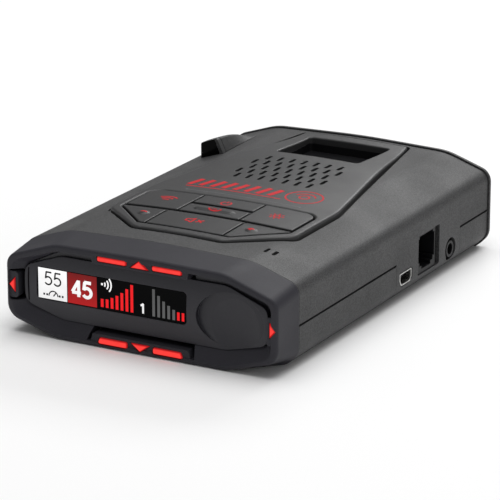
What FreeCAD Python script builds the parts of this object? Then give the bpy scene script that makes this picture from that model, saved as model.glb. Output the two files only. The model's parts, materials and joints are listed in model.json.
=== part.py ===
import FreeCAD, Part
import math
import os

from FreeCAD import Vector

# Dashboard radar detector. Millimetres, +Z up, +Y towards the road ahead, -Y the display end.
# The origin is the centre of the footprint, on the surface that the detector stands on.

# ---------------------------------------------------------------- overall size
LENGTH = 138.0
FRONT_Y = -LENGTH / 2
REAR_Y = LENGTH / 2
HALF_WIDTH = 44.45
CREST_Z = 24.2
SHOULDER_X = 30.0
SHOULDER_Z = 29.0
CROWN_Z = 29.9
BASE_X = 40.2
BASE_Z = 4.25

# ---------------------------------------------------------------- case halves
CASE_FRONT_Y = -56.85
CASE_REAR_Y = 67.0
WALL = 2.4
CAVITY_TOP_Z = 26.4
SEAM_LOW_Z = 12.1
SEAM_HIGH_Z = 12.8
TONGUE_TOP_Z = 14.4
TONGUE_INSET = 1.6
FIT_GAP = 0.15
PORT_TAB_Y = (3.8, 47.4)
PORT_TAB_LOW_Z = 2.6
BOSS_X = 36.0
BOSS_Y = (-48.5, 58.0)
BOSS_RADIUS = 3.1
SCREW_RADIUS = 1.2
SCREW_HEAD_RADIUS = 2.3
LABEL_RECESS_DEPTH = 0.35

# ---------------------------------------------------------------- top deck and keys
POCKET_FLOOR_Z = 27.8
GROOVE = 0.85
DECK_FRONT_Y = -47.5
DECK_FRONT_X = 14.5
DECK_SIDE_X = 30.7
DECK_SIDE_Y = (-33.8, -7.0)
DECK_REAR_X = 17.9
DECK_REAR_Y = 65.0
DECK_CROWN_Z = 30.85
DECK_CROWN_RADIUS = 490.0
FALL_START_Y = -20.0
FALL_RADIUS = 800.0
KEYPAD_SIDE_X = 27.9
KEYPAD_REAR_Y = -13.0
KEYPAD_SHOULDER_Y = -31.7
KEYPAD_FRONT_X = 15.0
KEYPAD_FRONT_Y = -44.1
KEY_GAP = 0.5
KEY_ROUNDING = 0.3
KEY_ROW_Y = -29.6
KEY_COLUMN_X = 10.2
MUTE_HALF_X = 12.8
POWER_FRONT_Y = -21.0
KEY_UNDER_Z = 28.5
PLUNGER_RADIUS = 1.6
PLUNGER_LOW_Z = 27.1
KEY_STEP = 0.5
KEY_STEP_RUN = 2.4
NUB_HEIGHT = 0.5
NUB_RADIUS = 1.85
NUB_X = 17.7
NUB_Y = -36.0
BAR_HALF_LENGTH = 5.2
BAR_HALF_WIDTH = 1.5
BAR_Y = -25.7
PLUNGERS = {
    "sensitivity_key": (-18.5, -20.5),
    "brightness_key": (18.5, -20.5),
    "power_key": (0.0, -17.6),
    "mark_key": (0.0, -25.2),
    "minus_key": (-18.2, -35.2),
    "mute_key": (0.0, -36.6),
    "plus_key": (18.2, -35.2),
}

# ---------------------------------------------------------------- grille and mount recess
SLOT_PITCH_X = 4.11
SLOT_PITCH_Y = 4.97
SLOT_COUNTS = (7, 8, 7, 8, 7)
SLOT_FIRST_Y = 9.8
SLOT_LENGTH = 4.2
SLOT_WIDTH = 1.2
RECESS_HALF_X = 14.0
RECESS_Y = (37.9, 60.3)
RECESS_FLOOR_Z = 25.2
PORT_FRONT_Y = 33.5
PORT_REAR_Y = 57.5
PORT_WINDOW_DEPTH = 1.0

# ---------------------------------------------------------------- bezel and face
BEZEL_REAR_Y = -57.0
LIP_RADIUS = 0.9
BEZEL_WALL = 2.2
FACE_CREST_Y = -67.6
FACE_MID_Z = 14.6
FACE_BULGE_RADIUS = 41.0
FACE_BACK_Y = -65.6
FACE_FLANGE_Y = -63.6
DISPLAY_X = (-34.6, 14.5)
DISPLAY_Z = (10.9, 20.3)
WINDOW_FRONT_Y = -67.2
SCOOP_X = 28.4
SCOOP_Z = 14.4
SCOOP_HALF_X = 10.8
SCOOP_HALF_Z = 7.9
SCOOP_DEPTH = 1.75
SCOOP_STEP = 0.9
SCOOP_TILT_DEG = 3.4
MOUTH_REAR_Y = -66.4
POD_FRONT_Y = -68.5
LENS_SLOPE = 0.38
PIPE_REAR_Y = -60.8

# ---------------------------------------------------------------- ports on the right side
USB_Y = 10.2
USB_Z = 7.1
USB_SIZE = (7.8, 3.9)
MODULAR_Y = (18.6, 32.7)
MODULAR_Z = (5.1, 17.3)
AUDIO_Y = 40.75
AUDIO_Z = 7.3
AUDIO_RING_RADIUS = 3.45
AUDIO_BORE_RADIUS = 1.75

# ---------------------------------------------------------------- inside
BOARD_Z = (3.5, 5.1)
LIGHT_BOARD_Y = (-59.4, -58.2)
KEY_BOARD_Z = (22.6, 23.8)
MAT_TOP_Z = 24.8
DOME_TOP_Z = 26.3


# ---------------------------------------------------------------- outline helpers
def mirrored(right_side, top=None):
    """Closed counterclockwise outline from its right half, listed from bottom to top."""
    left_side = [(-x, v, r) for x, v, r in reversed(right_side)]
    middle = [top] if top else []
    return right_side + middle + left_side


def inset(corners, distance):
    """The outline moved inwards by distance, with its corner radii reduced to match."""
    lines = []
    for index, (u, v, _) in enumerate(corners):
        next_u, next_v, _ = corners[(index + 1) % len(corners)]
        length = math.hypot(next_u - u, next_v - v)
        normal_u = -(next_v - v) / length
        normal_v = (next_u - u) / length
        lines.append((normal_u, normal_v, normal_u * u + normal_v * v + distance))
    moved = []
    for index, corner in enumerate(corners):
        a1, b1, c1 = lines[index - 1]
        a2, b2, c2 = lines[index]
        det = a1 * b2 - a2 * b1
        radius = max(corner[2] - distance, 0.3) if corner[2] else 0.0
        moved.append(((c1 * b2 - c2 * b1) / det, (a1 * c2 - a2 * c1) / det, radius))
    return moved


def rounded_wire(corners, place):
    """Straight edges joined by tangent arcs; place turns (u, v) into a point in space."""
    spans = []
    for index, (u, v, radius) in enumerate(corners):
        here = Vector(u, v, 0)
        back = Vector(corners[index - 1][0], corners[index - 1][1], 0) - here
        ahead_u, ahead_v, _ = corners[(index + 1) % len(corners)]
        ahead = Vector(ahead_u, ahead_v, 0) - here
        back.normalize()
        ahead.normalize()
        if not radius:
            spans.append((here, None, here))
            continue
        half_angle = back.getAngle(ahead) / 2
        reach = radius / math.tan(half_angle)
        bisector = back + ahead
        bisector.normalize()
        middle = here + bisector * (radius / math.sin(half_angle) - radius)
        spans.append((here + back * reach, middle, here + ahead * reach))
    edges = []
    for index, (start, middle, end) in enumerate(spans):
        before = spans[index - 1][2]
        edges.append(Part.LineSegment(place(before.x, before.y), place(start.x, start.y)).toShape())
        if middle:
            arc = Part.Arc(place(start.x, start.y), place(middle.x, middle.y), place(end.x, end.y))
            edges.append(arc.toShape())
    return Part.Wire(edges)


def across(y):
    return lambda u, v: Vector(u, y, v)


def level(z):
    return lambda u, v: Vector(u, v, z)


def sideways(x):
    return lambda u, v: Vector(x, u, v)


def prism_y(corners, y0, y1):
    return Part.Face(rounded_wire(corners, across(y0))).extrude(Vector(0, y1 - y0, 0))


def prism_z(corners, z0, z1):
    return Part.Face(rounded_wire(corners, level(z0))).extrude(Vector(0, 0, z1 - z0))


def prism_x(corners, x0, x1):
    return Part.Face(rounded_wire(corners, sideways(x0))).extrude(Vector(x1 - x0, 0, 0))


def loft(sections):
    return Part.makeLoft([rounded_wire(corners, place) for corners, place in sections], True, True)


def rectangle(u0, u1, v0, v1, radius=0.0):
    return [(u1, v0, radius), (u1, v1, radius), (u0, v1, radius), (u0, v0, radius)]


def box(x0, x1, y0, y1, z0, z1):
    return Part.makeBox(x1 - x0, y1 - y0, z1 - z0, Vector(x0, y0, z0))


def post(x, y, z0, z1, radius):
    return Part.makeCylinder(radius, z1 - z0, Vector(x, y, z0), Vector(0, 0, 1))


def rod_x(x0, x1, y, z, radius):
    return Part.makeCylinder(radius, x1 - x0, Vector(x0, y, z), Vector(1, 0, 0))


def rod_y(y0, y1, x, z, radius):
    return Part.makeCylinder(radius, y1 - y0, Vector(x, y0, z), Vector(0, 1, 0))


def is_wall(face):
    u0, u1, v0, v1 = face.ParameterRange
    return abs(face.normalAt((u0 + u1) / 2, (v0 + v1) / 2).z) < 0.05


def top_rims(shape, above, inside=None):
    """Edges higher than above where an upright wall meets the top; inside is (x, y0, y1)."""
    picked = []
    for edge in shape.Edges:
        centre = edge.CenterOfMass
        if edge.BoundBox.ZMin < above:
            continue
        if inside and (abs(centre.x) > inside[0] or not inside[1] < centre.y < inside[2]):
            continue
        walls = [is_wall(face) for face in shape.ancestorsOfType(edge, Part.Face)]
        if any(walls) and not all(walls):
            picked.append(edge)
    return picked


def export(node, shape):
    shape.exportStep("parts/%s.step" % node)


# ---------------------------------------------------------------- outlines
def body_corners():
    right = [
        (BASE_X, 0.0, 5.0),
        (HALF_WIDTH, BASE_Z, 5.0),
        (HALF_WIDTH, CREST_Z, 4.0),
        (SHOULDER_X, SHOULDER_Z, 20.0),
    ]
    return mirrored(right, (0.0, CROWN_Z, 300.0))


def lip_corners():
    right = [(27.5, 0.0, 12.0), (44.1, 4.8, 5.0), (44.1, 22.7, 4.0), (27.5, 28.4, 15.0)]
    return mirrored(right, (0.0, 28.8, 300.0))


def deck_corners():
    right = [
        (DECK_FRONT_X, DECK_FRONT_Y, 3.5),
        (DECK_SIDE_X, DECK_SIDE_Y[0], 4.0),
        (DECK_SIDE_X, DECK_SIDE_Y[1], 30.0),
        (DECK_REAR_X, DECK_REAR_Y, 1.0),
    ]
    return mirrored(right)


def keypad_corners():
    right = [
        (KEYPAD_FRONT_X, KEYPAD_FRONT_Y, 1.6),
        (KEYPAD_SIDE_X, KEYPAD_SHOULDER_Y, 2.4),
        (KEYPAD_SIDE_X, KEYPAD_REAR_Y, 4.4),
    ]
    return mirrored(right)


# ---------------------------------------------------------------- case
def case_blank():
    outer = prism_y(body_corners(), CASE_FRONT_Y, CASE_REAR_Y)
    hollow = prism_y(inset(body_corners(), WALL), CASE_FRONT_Y - 1, CASE_REAR_Y + 1)
    ceiling = box(-50, 50, CASE_FRONT_Y - 2, CASE_REAR_Y + 2, CAVITY_TOP_Z, 40)
    return outer.cut(hollow.cut(ceiling))


def port_tab_zone(gap):
    y0, y1 = PORT_TAB_Y
    return box(30, 50, y0 - gap, y1 + gap, PORT_TAB_LOW_Z - gap, SEAM_HIGH_Z + 5)


def rebate(inset_by, z_top):
    ring = prism_y(inset(body_corners(), inset_by), CASE_FRONT_Y - 1, CASE_REAR_Y + 1)
    return ring.common(box(-50, 50, CASE_FRONT_Y, CASE_REAR_Y, SEAM_LOW_Z - 1, z_top))


def bosses(z0, z1):
    return [post(side * BOSS_X, y, z0, z1, BOSS_RADIUS) for side in (-1, 1) for y in BOSS_Y]


def lower_case(blank):
    shell = blank.common(box(-50, 50, -80, 80, -1, SEAM_LOW_Z))
    tongue = rebate(TONGUE_INSET, TONGUE_TOP_Z).common(blank)
    shell = shell.fuse(tongue).cut(port_tab_zone(FIT_GAP))
    outer = prism_y(body_corners(), CASE_FRONT_Y, CASE_REAR_Y)
    for boss in bosses(0.5, SEAM_LOW_Z):
        shell = shell.fuse(boss.common(outer))
    for side in (-1, 1):
        for y in BOSS_Y:
            shell = shell.cut(post(side * BOSS_X, y, -1, 20, SCREW_RADIUS + 0.15))
            shell = shell.cut(post(side * BOSS_X, y, -1, 2.2, SCREW_HEAD_RADIUS + 0.3))
    shell = shell.cut(prism_z(rectangle(-26, 26, -18, 18, 2.5), -1, LABEL_RECESS_DEPTH))
    return shell.removeSplitter()


def upper_case(blank):
    above = box(-50, 50, -80, 80, SEAM_HIGH_Z, 40).fuse(port_tab_zone(0))
    shell = blank.common(above)
    shell = shell.cut(rebate(TONGUE_INSET - FIT_GAP, TONGUE_TOP_Z + FIT_GAP).cut(port_tab_zone(0)))
    outer = prism_y(body_corners(), CASE_FRONT_Y, CASE_REAR_Y)
    for boss in bosses(SEAM_LOW_Z + FIT_GAP, 28):
        shell = shell.fuse(boss.common(outer))
    shell = shell.cut(prism_z(inset(deck_corners(), -GROOVE), POCKET_FLOOR_Z, 40))
    shell = shell.cut(prism_z(rectangle(-25, 25, -41, -15.5, 2), 20, 40))
    shell = shell.cut(post(0, SLOT_FIRST_Y + 2 * SLOT_PITCH_Y, 20, 40, 14.2))
    tub = rectangle(-RECESS_HALF_X - 2.4, RECESS_HALF_X + 2.4, RECESS_Y[0] - 2.2, RECESS_Y[1] + 2.2, 1)
    shell = shell.cut(prism_z(tub, 20, 40))
    for x, y in ((28.5, -46.3), (31.2, -46.4)):
        shell = shell.cut(prism_z(rectangle(x - 0.5, x + 0.5, y - 1.7, y + 1.7, 0.49), 20, 40))
    for side in (-1, 1):
        for y in BOSS_Y:
            shell = shell.cut(post(side * BOSS_X, y, 10, 22, SCREW_RADIUS - 0.05))
    for x in (-29, 29):
        for y in (-38, -14):
            shell = shell.fuse(post(x, y, KEY_BOARD_Z[1], CAVITY_TOP_Z + 0.2, 1.6))
    for cut in port_openings(FIT_GAP):
        shell = shell.cut(cut)
    return shell.removeSplitter()


def port_openings(gap):
    usb = prism_x(inset(usb_outline(), -gap - 0.2), 30, 50)
    y0, y1 = MODULAR_Y
    z0, z1 = MODULAR_Z
    modular = prism_x(rectangle(y0 - gap, y1 + gap, z0 - gap, z1 + gap, 0.5), 30, 50)
    audio = rod_x(30, 50, AUDIO_Y, AUDIO_Z, AUDIO_RING_RADIUS + gap)
    return [usb, modular, audio]


# ---------------------------------------------------------------- top deck
def crown_height(x, y):
    side_drop = x ** 2 / (2 * DECK_CROWN_RADIUS)
    fall = max(FALL_START_Y - y, 0) ** 2 / (2 * FALL_RADIUS)
    return DECK_CROWN_Z - side_drop - fall


def crown(z_low):
    """The space under the deck's crowned top, whose front part falls away towards the display."""
    sections = []
    half = 35.0
    for y in (-60, -50, -40, -30, -20, 10, 40, 70):
        right = Vector(half, y, crown_height(half, y))
        left = Vector(-half, y, crown_height(half, y))
        sides = Part.makePolygon([left, Vector(-half, y, z_low), Vector(half, y, z_low), right])
        arc = Part.Arc(right, Vector(0, y, crown_height(0, y)), left).toShape()
        sections.append(Part.Wire(sides.Edges + [arc]))
    return Part.makeLoft(sections, True, False)


def top_deck():
    plate = prism_z(deck_corners(), POCKET_FLOOR_Z, 33).common(crown(POCKET_FLOOR_Z))
    plate = plate.makeFillet(0.8, top_rims(plate, 29.0))
    plate = plate.cut(prism_z(keypad_corners(), 20, 33))
    plate = plate.makeFillet(0.7, top_rims(plate, 29.9, (28.3, -44.6, -12.5)))
    recess = rectangle(-RECESS_HALF_X, RECESS_HALF_X, RECESS_Y[0], RECESS_Y[1], 1.2)
    plate = plate.cut(prism_z(recess, 20, 33))
    plate = plate.makeFillet(0.45, top_rims(plate, 29.9, (14.2, 37, 61)))
    return plate.cut(grille_slots(20, 33))


def grille_slots(z0, z1):
    slots = []
    for row, count in enumerate(SLOT_COUNTS):
        y = SLOT_FIRST_Y + row * SLOT_PITCH_Y
        for column in range(count):
            x = (column - (count - 1) / 2) * SLOT_PITCH_X
            half_w = SLOT_WIDTH / 2
            half_l = SLOT_LENGTH / 2
            outline = rectangle(x - half_w, x + half_w, y - half_l, y + half_l, half_w - 0.01)
            slots.append(prism_z(outline, z0, z1))
    return slots


# ---------------------------------------------------------------- keys
def key_outlines():
    """Each key's outline: the keypad well, less the gap, cut along the lines between the keys."""
    side = KEYPAD_SIDE_X - KEY_GAP
    rear = KEYPAD_REAR_Y - KEY_GAP
    front = KEYPAD_FRONT_Y + KEY_GAP
    half = KEY_GAP / 2
    row_rear = KEY_ROW_Y + half
    row_front = KEY_ROW_Y - half
    outlines = {}
    outlines["sensitivity_key"] = rectangle(-side, -KEY_COLUMN_X - half, row_rear, rear)
    outlines["brightness_key"] = rectangle(KEY_COLUMN_X + half, side, row_rear, rear)
    column = KEY_COLUMN_X - half
    outlines["power_key"] = rectangle(-column, column, POWER_FRONT_Y + half, rear)
    outlines["mark_key"] = rectangle(-column, column, row_rear, POWER_FRONT_Y - half)
    outlines["minus_key"] = rectangle(-side, -MUTE_HALF_X - half, front, row_front)
    outlines["mute_key"] = rectangle(-MUTE_HALF_X + half, MUTE_HALF_X - half, front, row_front)
    outlines["plus_key"] = rectangle(MUTE_HALF_X + half, side, front, row_front)
    return outlines


def stepped_crown(y_rear):
    """The crown, tipped down over the last part of a key so that the key behind it stands proud."""
    space = crown(CAVITY_TOP_Z / 2)
    fall = math.degrees(math.atan(KEY_STEP / KEY_STEP_RUN))
    space.rotate(Vector(0, y_rear - KEY_STEP_RUN, crown_height(0, y_rear)), Vector(1, 0, 0), -fall)
    return space


def raised_bar(half_length, half_width, x, y):
    """A low rounded bar standing on the crown; with no length it is a round nub."""
    radius = (half_width ** 2 + NUB_HEIGHT ** 2) / (2 * NUB_HEIGHT)
    z = crown_height(x, y) + NUB_HEIGHT - radius
    solid = Part.makeSphere(radius, Vector(x - half_length, y, z))
    if half_length:
        solid = solid.fuse(rod_x(x - half_length, x + half_length, y, z, radius))
        solid = solid.fuse(Part.makeSphere(radius, Vector(x + half_length, y, z)))
    return solid.common(box(-50, 50, -60, 0, KEY_UNDER_Z + 0.5, 40))


def key(name, outline):
    well = prism_z(inset(keypad_corners(), KEY_GAP), KEY_UNDER_Z, 33)
    cap = prism_z(outline, KEY_UNDER_Z, 33).common(well).common(crown(KEY_UNDER_Z))
    cap = cap.makeFillet(KEY_ROUNDING, top_rims(cap, 29.0))
    if name in ("minus_key", "mute_key", "plus_key"):
        cap = cap.common(stepped_crown(KEY_ROW_Y))
    if name == "mark_key":
        cap = cap.common(stepped_crown(POWER_FRONT_Y))
    if name == "minus_key":
        cap = cap.fuse(raised_bar(0, NUB_RADIUS, -NUB_X, NUB_Y))
    if name == "plus_key":
        cap = cap.fuse(raised_bar(0, NUB_RADIUS, NUB_X, NUB_Y))
    if name == "mark_key":
        cap = cap.fuse(raised_bar(BAR_HALF_LENGTH, BAR_HALF_WIDTH, 0, BAR_Y))
    x, y = PLUNGERS[name]
    return cap.fuse(post(x, y, PLUNGER_LOW_Z, KEY_UNDER_Z + 0.2, PLUNGER_RADIUS)).removeSplitter()


# ---------------------------------------------------------------- bezel
def bezel_outer():
    sections = [(body_corners(), across(BEZEL_REAR_Y))]
    for step in range(5):
        angle = math.radians(step * 90 / 4)
        depth = LIP_RADIUS * (1 - math.sin(angle))
        shrink = LIP_RADIUS * (1 - math.cos(angle))
        sections.append((inset(lip_corners(), shrink), across(FRONT_Y + depth)))
    return loft(sections)


def mouth_corners():
    """The opening where it meets the face plate: close round the plate below, a groove above it."""
    right = [(26.5, 5.2, 10.0), (40.4, 8.8, 3.7), (41.7, 20.8, 2.6), (26.9, 26.0, 12.0)]
    left = [(-26.9, 26.0, 12.0), (-38.8, 20.3, 3.0), (-38.8, 9.2, 3.7), (-26.5, 5.2, 10.0)]
    return right + [(0.0, 26.3, 300.0)] + left


def bezel_opening():
    """The mouth of the bezel: a ramp from the lip in to the face plate, then a straight throat."""
    front_right = [(27.0, 1.3, 11.0), (42.1, 5.7, 4.0), (42.1, 21.5, 3.0), (26.9, 26.5, 13.0)]
    front = mirrored(front_right, (0.0, 26.9, 300.0))
    mouth = loft([(front, across(FRONT_Y)), (mouth_corners(), across(MOUTH_REAR_Y))])
    throat = prism_y(mouth_corners(), MOUTH_REAR_Y, FACE_BACK_Y + 4)
    lead = prism_y(front, FRONT_Y - 2, FRONT_Y)
    return mouth.fuse(throat).fuse(lead)


def pods():
    top = prism_y([(15.4, 24.5, 0), (16.4, 30, 0), (-16.4, 30, 0), (-15.4, 24.5, 0)], POD_FRONT_Y, -62.5)
    low = prism_y([(17.0, -1, 0), (15.6, 3.8, 0), (-15.6, 3.8, 0), (-17.0, -1, 0)], POD_FRONT_Y, -62.5)
    left = prism_y(rectangle(-46, -40.3, 10.2, 18.1, 1.2), POD_FRONT_Y, -62.5)
    right = prism_y(rectangle(40.45, 46, 9.6, 17.8, 0.6), POD_FRONT_Y, -62.5)
    return [top, low, left, right]


def front_bezel():
    outer = bezel_outer()
    rear = inset(body_corners(), BEZEL_WALL)
    front = inset(lip_corners(), BEZEL_WALL)
    hollow = loft([(rear, across(BEZEL_REAR_Y + 1)), (front, across(-62.4))])
    shell = outer.cut(hollow).cut(bezel_opening())
    for pod in pods():
        shell = shell.fuse(pod.common(outer))
    notch = prism_y([(17.7, 1.4, 0), (16.5, 5.5, 0), (-16.3, 5.5, 0), (-17.5, 1.4, 0)], FRONT_Y - 1, -62.8)
    shell = shell.cut(notch.cut(pods()[1]))
    well = prism_y(rectangle(-43.2, -38.9, 9.5, 18.8, 0.8), FRONT_Y - 1, -62.8)
    shell = shell.cut(well.cut(pods()[2]))
    for outline in light_outlines().values():
        shell = shell.cut(prism_y(inset(outline, -FIT_GAP), FRONT_Y - 1, PIPE_REAR_Y))
    return shell.removeSplitter()


def face_outline():
    right = [(26.5, 5.3, 10.0), (40.25, 8.9, 3.6), (40.25, 19.5, 3.0), (27.0, 24.2, 10.0)]
    left = [(-27.0, 24.2, 10.0), (-38.65, 20.1, 3.0), (-38.65, 9.3, 3.6), (-26.5, 5.3, 10.0)]
    return right + left


def face_plate():
    blank = prism_y(face_outline(), FACE_CREST_Y, FACE_BACK_Y + 0.5)
    bulge = rod_x(-50, 50, FACE_CREST_Y + FACE_BULGE_RADIUS, FACE_MID_Z, FACE_BULGE_RADIUS)
    plate = blank.common(bulge)
    flange = prism_y(inset(mouth_corners(), 0.2), FACE_BACK_Y, FACE_FLANGE_Y)
    plate = plate.fuse(flange)
    for pod in pods():
        plate = plate.cut(grown_pod(pod))
    plate = plate.cut(scoop())
    plate = plate.cut(box(-37.7, -37.2, -70, FACE_CREST_Y + 0.75, 9.8, 19.6))
    window = rectangle(DISPLAY_X[0], DISPLAY_X[1], DISPLAY_Z[0], DISPLAY_Z[1], 1.2)
    plate = plate.cut(prism_y(inset(window, -0.1), FACE_CREST_Y - 2, -65.5))
    viewing = rectangle(DISPLAY_X[0] + 1, DISPLAY_X[1] - 1, DISPLAY_Z[0] + 1, DISPLAY_Z[1] - 1, 0.6)
    plate = plate.cut(prism_y(viewing, -66, -60))
    return plate.removeSplitter()


def grown_pod(pod):
    """A pod's space with a thin gap round it, so that the face plate slips past it."""
    bounds = pod.BoundBox
    g = FIT_GAP
    return box(bounds.XMin - g, bounds.XMax + g, FRONT_Y, -62, bounds.ZMin - g, bounds.ZMax + g)


def scoop():
    """A round dish, let in with a clear step at its lower left and flush at its upper right."""
    ellipse = Part.Ellipse(Vector(0, 0, 0), SCOOP_HALF_X, SCOOP_HALF_Z)
    wire = Part.Wire([ellipse.toShape()])
    wire.rotate(Vector(0, 0, 0), Vector(1, 0, 0), 90)
    wire.translate(Vector(SCOOP_X, FRONT_Y, SCOOP_Z))
    disc = Part.Face(wire).extrude(Vector(0, FACE_BACK_Y - FRONT_Y, 0))
    slant = Part.makeBox(60, 10, 60, Vector(-30, -10, -30))
    slant.rotate(Vector(0, 0, 0), Vector(1, 0, 1), -SCOOP_TILT_DEG)
    slant.translate(Vector(SCOOP_X, FACE_CREST_Y + SCOOP_STEP, SCOOP_Z))
    radius = (SCOOP_HALF_X ** 2 + SCOOP_DEPTH ** 2) / (2 * SCOOP_DEPTH)
    ball = Part.makeSphere(radius, Vector(SCOOP_X, FACE_CREST_Y + SCOOP_DEPTH - radius, SCOOP_Z))
    return disc.common(slant.fuse(ball))


def display_window():
    pane = inset(rectangle(DISPLAY_X[0], DISPLAY_X[1], DISPLAY_Z[0], DISPLAY_Z[1], 1.2), 0.05)
    return prism_y(pane, WINDOW_FRONT_Y, -65.5)


def display_module():
    z0, z1 = DISPLAY_Z
    body = box(DISPLAY_X[0] - 1, DISPLAY_X[1] + 1, FACE_FLANGE_Y + 0.1, LIGHT_BOARD_Y[0], z0 - 1.2, z1 + 1.2)
    glass = box(DISPLAY_X[0] + 1.3, DISPLAY_X[1] - 1.3, -65.4, FACE_FLANGE_Y + 0.1, z0 + 1.3, z1 - 1.3)
    return body.fuse(glass).removeSplitter()


def light_outlines():
    """Outline of each indicator: two bars and an arrow above and below, an arrow at each side."""
    outlines = {}
    for side, name in ((-1, "left"), (1, "right")):
        near, far = side * 4.2, side * 13.7
        low_x, high_x = sorted((near, far))
        outlines["upper_%s_light_bar" % name] = rectangle(low_x, high_x, 25.45, 26.95, 0.5)
        low = [(far + side * 0.3, 1.0, 0.5), (far - side * 0.5, 2.8, 0.5), (near, 2.8, 0.5), (near, 1.0, 0.5)]
        outlines["lower_%s_light_bar" % name] = low if side > 0 else low[::-1]
        base, tip = side * 41.4, side * 43.3
        arrow = [(tip, 14.1, 0), (base, 16.3, 0), (base, 11.9, 0)]
        outlines["%s_arrow_light" % name] = arrow if side > 0 else arrow[::-1]
    outlines["up_arrow_light"] = [(2.9, 25.3, 0), (0, 27.6, 0), (-2.9, 25.3, 0)]
    outlines["down_arrow_light"] = [(2.9, 2.9, 0), (-2.9, 2.9, 0), (0, 0.75, 0)]
    return outlines


def light_pipe(outline):
    """A stem that carries the light forward, ending in a lens with sloping sides."""
    stem = prism_y(outline, POD_FRONT_Y, PIPE_REAR_Y)
    lens = loft([(outline, across(POD_FRONT_Y)), (inset(outline, LENS_SLOPE), across(FRONT_Y))])
    return stem.fuse(lens)


def light_board():
    return prism_y(inset(lip_corners(), BEZEL_WALL + 0.8), LIGHT_BOARD_Y[0], LIGHT_BOARD_Y[1])


def indicator_leds():
    spots = [(x, z) for x in (-9, 0, 9) for z in (24.2, 4.2)] + [(-39.6, 14.1), (39.6, 14.1)]
    y = LIGHT_BOARD_Y[0]
    chips = [box(x - 0.8, x + 0.8, y - 1, y, z - 0.35, z + 0.35) for x, z in spots]
    return Part.makeCompound(chips)


# ---------------------------------------------------------------- rear cap
def rear_cap():
    flange = prism_y(inset(body_corners(), -0.45), CASE_REAR_Y + 0.5, REAR_Y - 0.5)
    nose = loft([
        (inset(body_corners(), -0.45), across(REAR_Y - 0.5)),
        (inset(body_corners(), 0.35), across(REAR_Y)),
    ])
    neck = prism_y(inset(body_corners(), WALL + FIT_GAP), CASE_REAR_Y - 4, CASE_REAR_Y + 0.5)
    below = box(-50, 50, 0, 80, -1, CAVITY_TOP_Z - FIT_GAP)
    above_base = box(-50, 50, 0, 80, 0, 40)
    shell = flange.fuse(nose).common(above_base).fuse(neck.common(below))
    hollow = prism_y(inset(body_corners(), WALL + 1.6), CASE_REAR_Y - 5, REAR_Y - 1.6)
    shell = shell.cut(hollow.common(box(-50, 50, 0, 80, -1, CAVITY_TOP_Z - 1.6)))
    shell = shell.cut(prism_y(rectangle(-31, 31, 7, 22, 2.5), REAR_Y - 1.2, REAR_Y + 1))
    shell = shell.cut(prism_y(rectangle(-29.6, 29.6, 8.4, 20.6, 1.5), REAR_Y - 3, REAR_Y + 1))
    for side in (-1, 1):
        shell = shell.cut(post(side * BOSS_X, BOSS_Y[1], 0, 30, BOSS_RADIUS + 1))
    return shell.removeSplitter()


def road_window():
    return prism_y(rectangle(-30.9, 30.9, 7.1, 21.9, 2.4), REAR_Y - 1.2, REAR_Y - 0.3)


# ---------------------------------------------------------------- rear laser port on the left shoulder
def shoulder_height(x):
    return SHOULDER_Z - (abs(x) - SHOULDER_X) * (SHOULDER_Z - CREST_Z) / (HALF_WIDTH - SHOULDER_X)


def fairing_section(y):
    """Cross-section of the fairing: upright outside, sloping top, steep inner side."""
    t = (y - PORT_FRONT_Y) / (PORT_REAR_Y - PORT_FRONT_Y)
    rise = math.cos(t * math.pi / 2) ** 0.9 if t < 1 else 0.0
    outer_x = -38.4 + 2.2 * t
    inner_x = -30.4 - 1.4 * t
    peak_x = -33.2 - 1.4 * t
    outer_top = shoulder_height(outer_x) + 4.9 * rise + 0.1
    peak = shoulder_height(peak_x) + 5.3 * rise + 0.1
    low = 23.0
    radius = 0.3 + 0.6 * rise
    return [
        (inner_x, low, 0.0),
        (inner_x - 0.2 * rise, shoulder_height(inner_x) + 0.05, 0.0),
        (peak_x + 0.5 * rise, peak, radius),
        (outer_x, outer_top, radius),
        (outer_x, low, 0.0),
    ]


def laser_port_cover(blank_outer):
    count = 8
    sections = []
    for step in range(count + 1):
        t = step / count
        y = PORT_FRONT_Y + (PORT_REAR_Y - PORT_FRONT_Y) * t
        sections.append((fairing_section(y), across(y)))
    solid = loft(sections).cut(blank_outer)
    pane = inset(port_pane(), -0.05)
    solid = solid.cut(prism_y(pane, PORT_FRONT_Y - 1, PORT_FRONT_Y + PORT_WINDOW_DEPTH))
    ring = prism_y(inset(fairing_section(PORT_FRONT_Y), -3), PORT_FRONT_Y + 2.0, PORT_FRONT_Y + 2.35)
    core = prism_y(inset(fairing_section(PORT_FRONT_Y), 0.35), PORT_FRONT_Y, PORT_FRONT_Y + 4)
    solid = solid.cut(ring.cut(core))
    return solid


def port_pane():
    """Outline of the pane: it leaves a rim of the fairing on its inner side."""
    corners = inset(fairing_section(PORT_FRONT_Y), 0.25)
    inner = [(u - 1.0, v, r) for u, v, r in corners[:2]]
    peak_u, peak_v, peak_r = corners[2]
    return inner + [(peak_u - 0.8, peak_v, peak_r)] + corners[3:]


def laser_port_window(blank_outer):
    return prism_y(port_pane(), PORT_FRONT_Y + 0.1, PORT_FRONT_Y + PORT_WINDOW_DEPTH).cut(blank_outer)


# ---------------------------------------------------------------- ports
def usb_outline():
    """Mini-USB mouth: a rectangle whose lower corners step inwards."""
    half_w, half_h = USB_SIZE[0] / 2, USB_SIZE[1] / 2
    right = [(half_w - 1.0, -half_h, 0.3), (half_w, -half_h + 1.5, 0.3), (half_w, half_h, 0.4)]
    return [(u + USB_Y, v + USB_Z, r) for u, v, r in mirrored(right)]


def usb_socket():
    shell = prism_x(usb_outline(), 36, 44.35)
    return shell.cut(prism_x(inset(usb_outline(), 0.35), 37, 46))


def usb_tongue():
    return box(37, 43.0, USB_Y - 2.3, USB_Y + 2.3, USB_Z + 0.1, USB_Z + 0.9)


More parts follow.
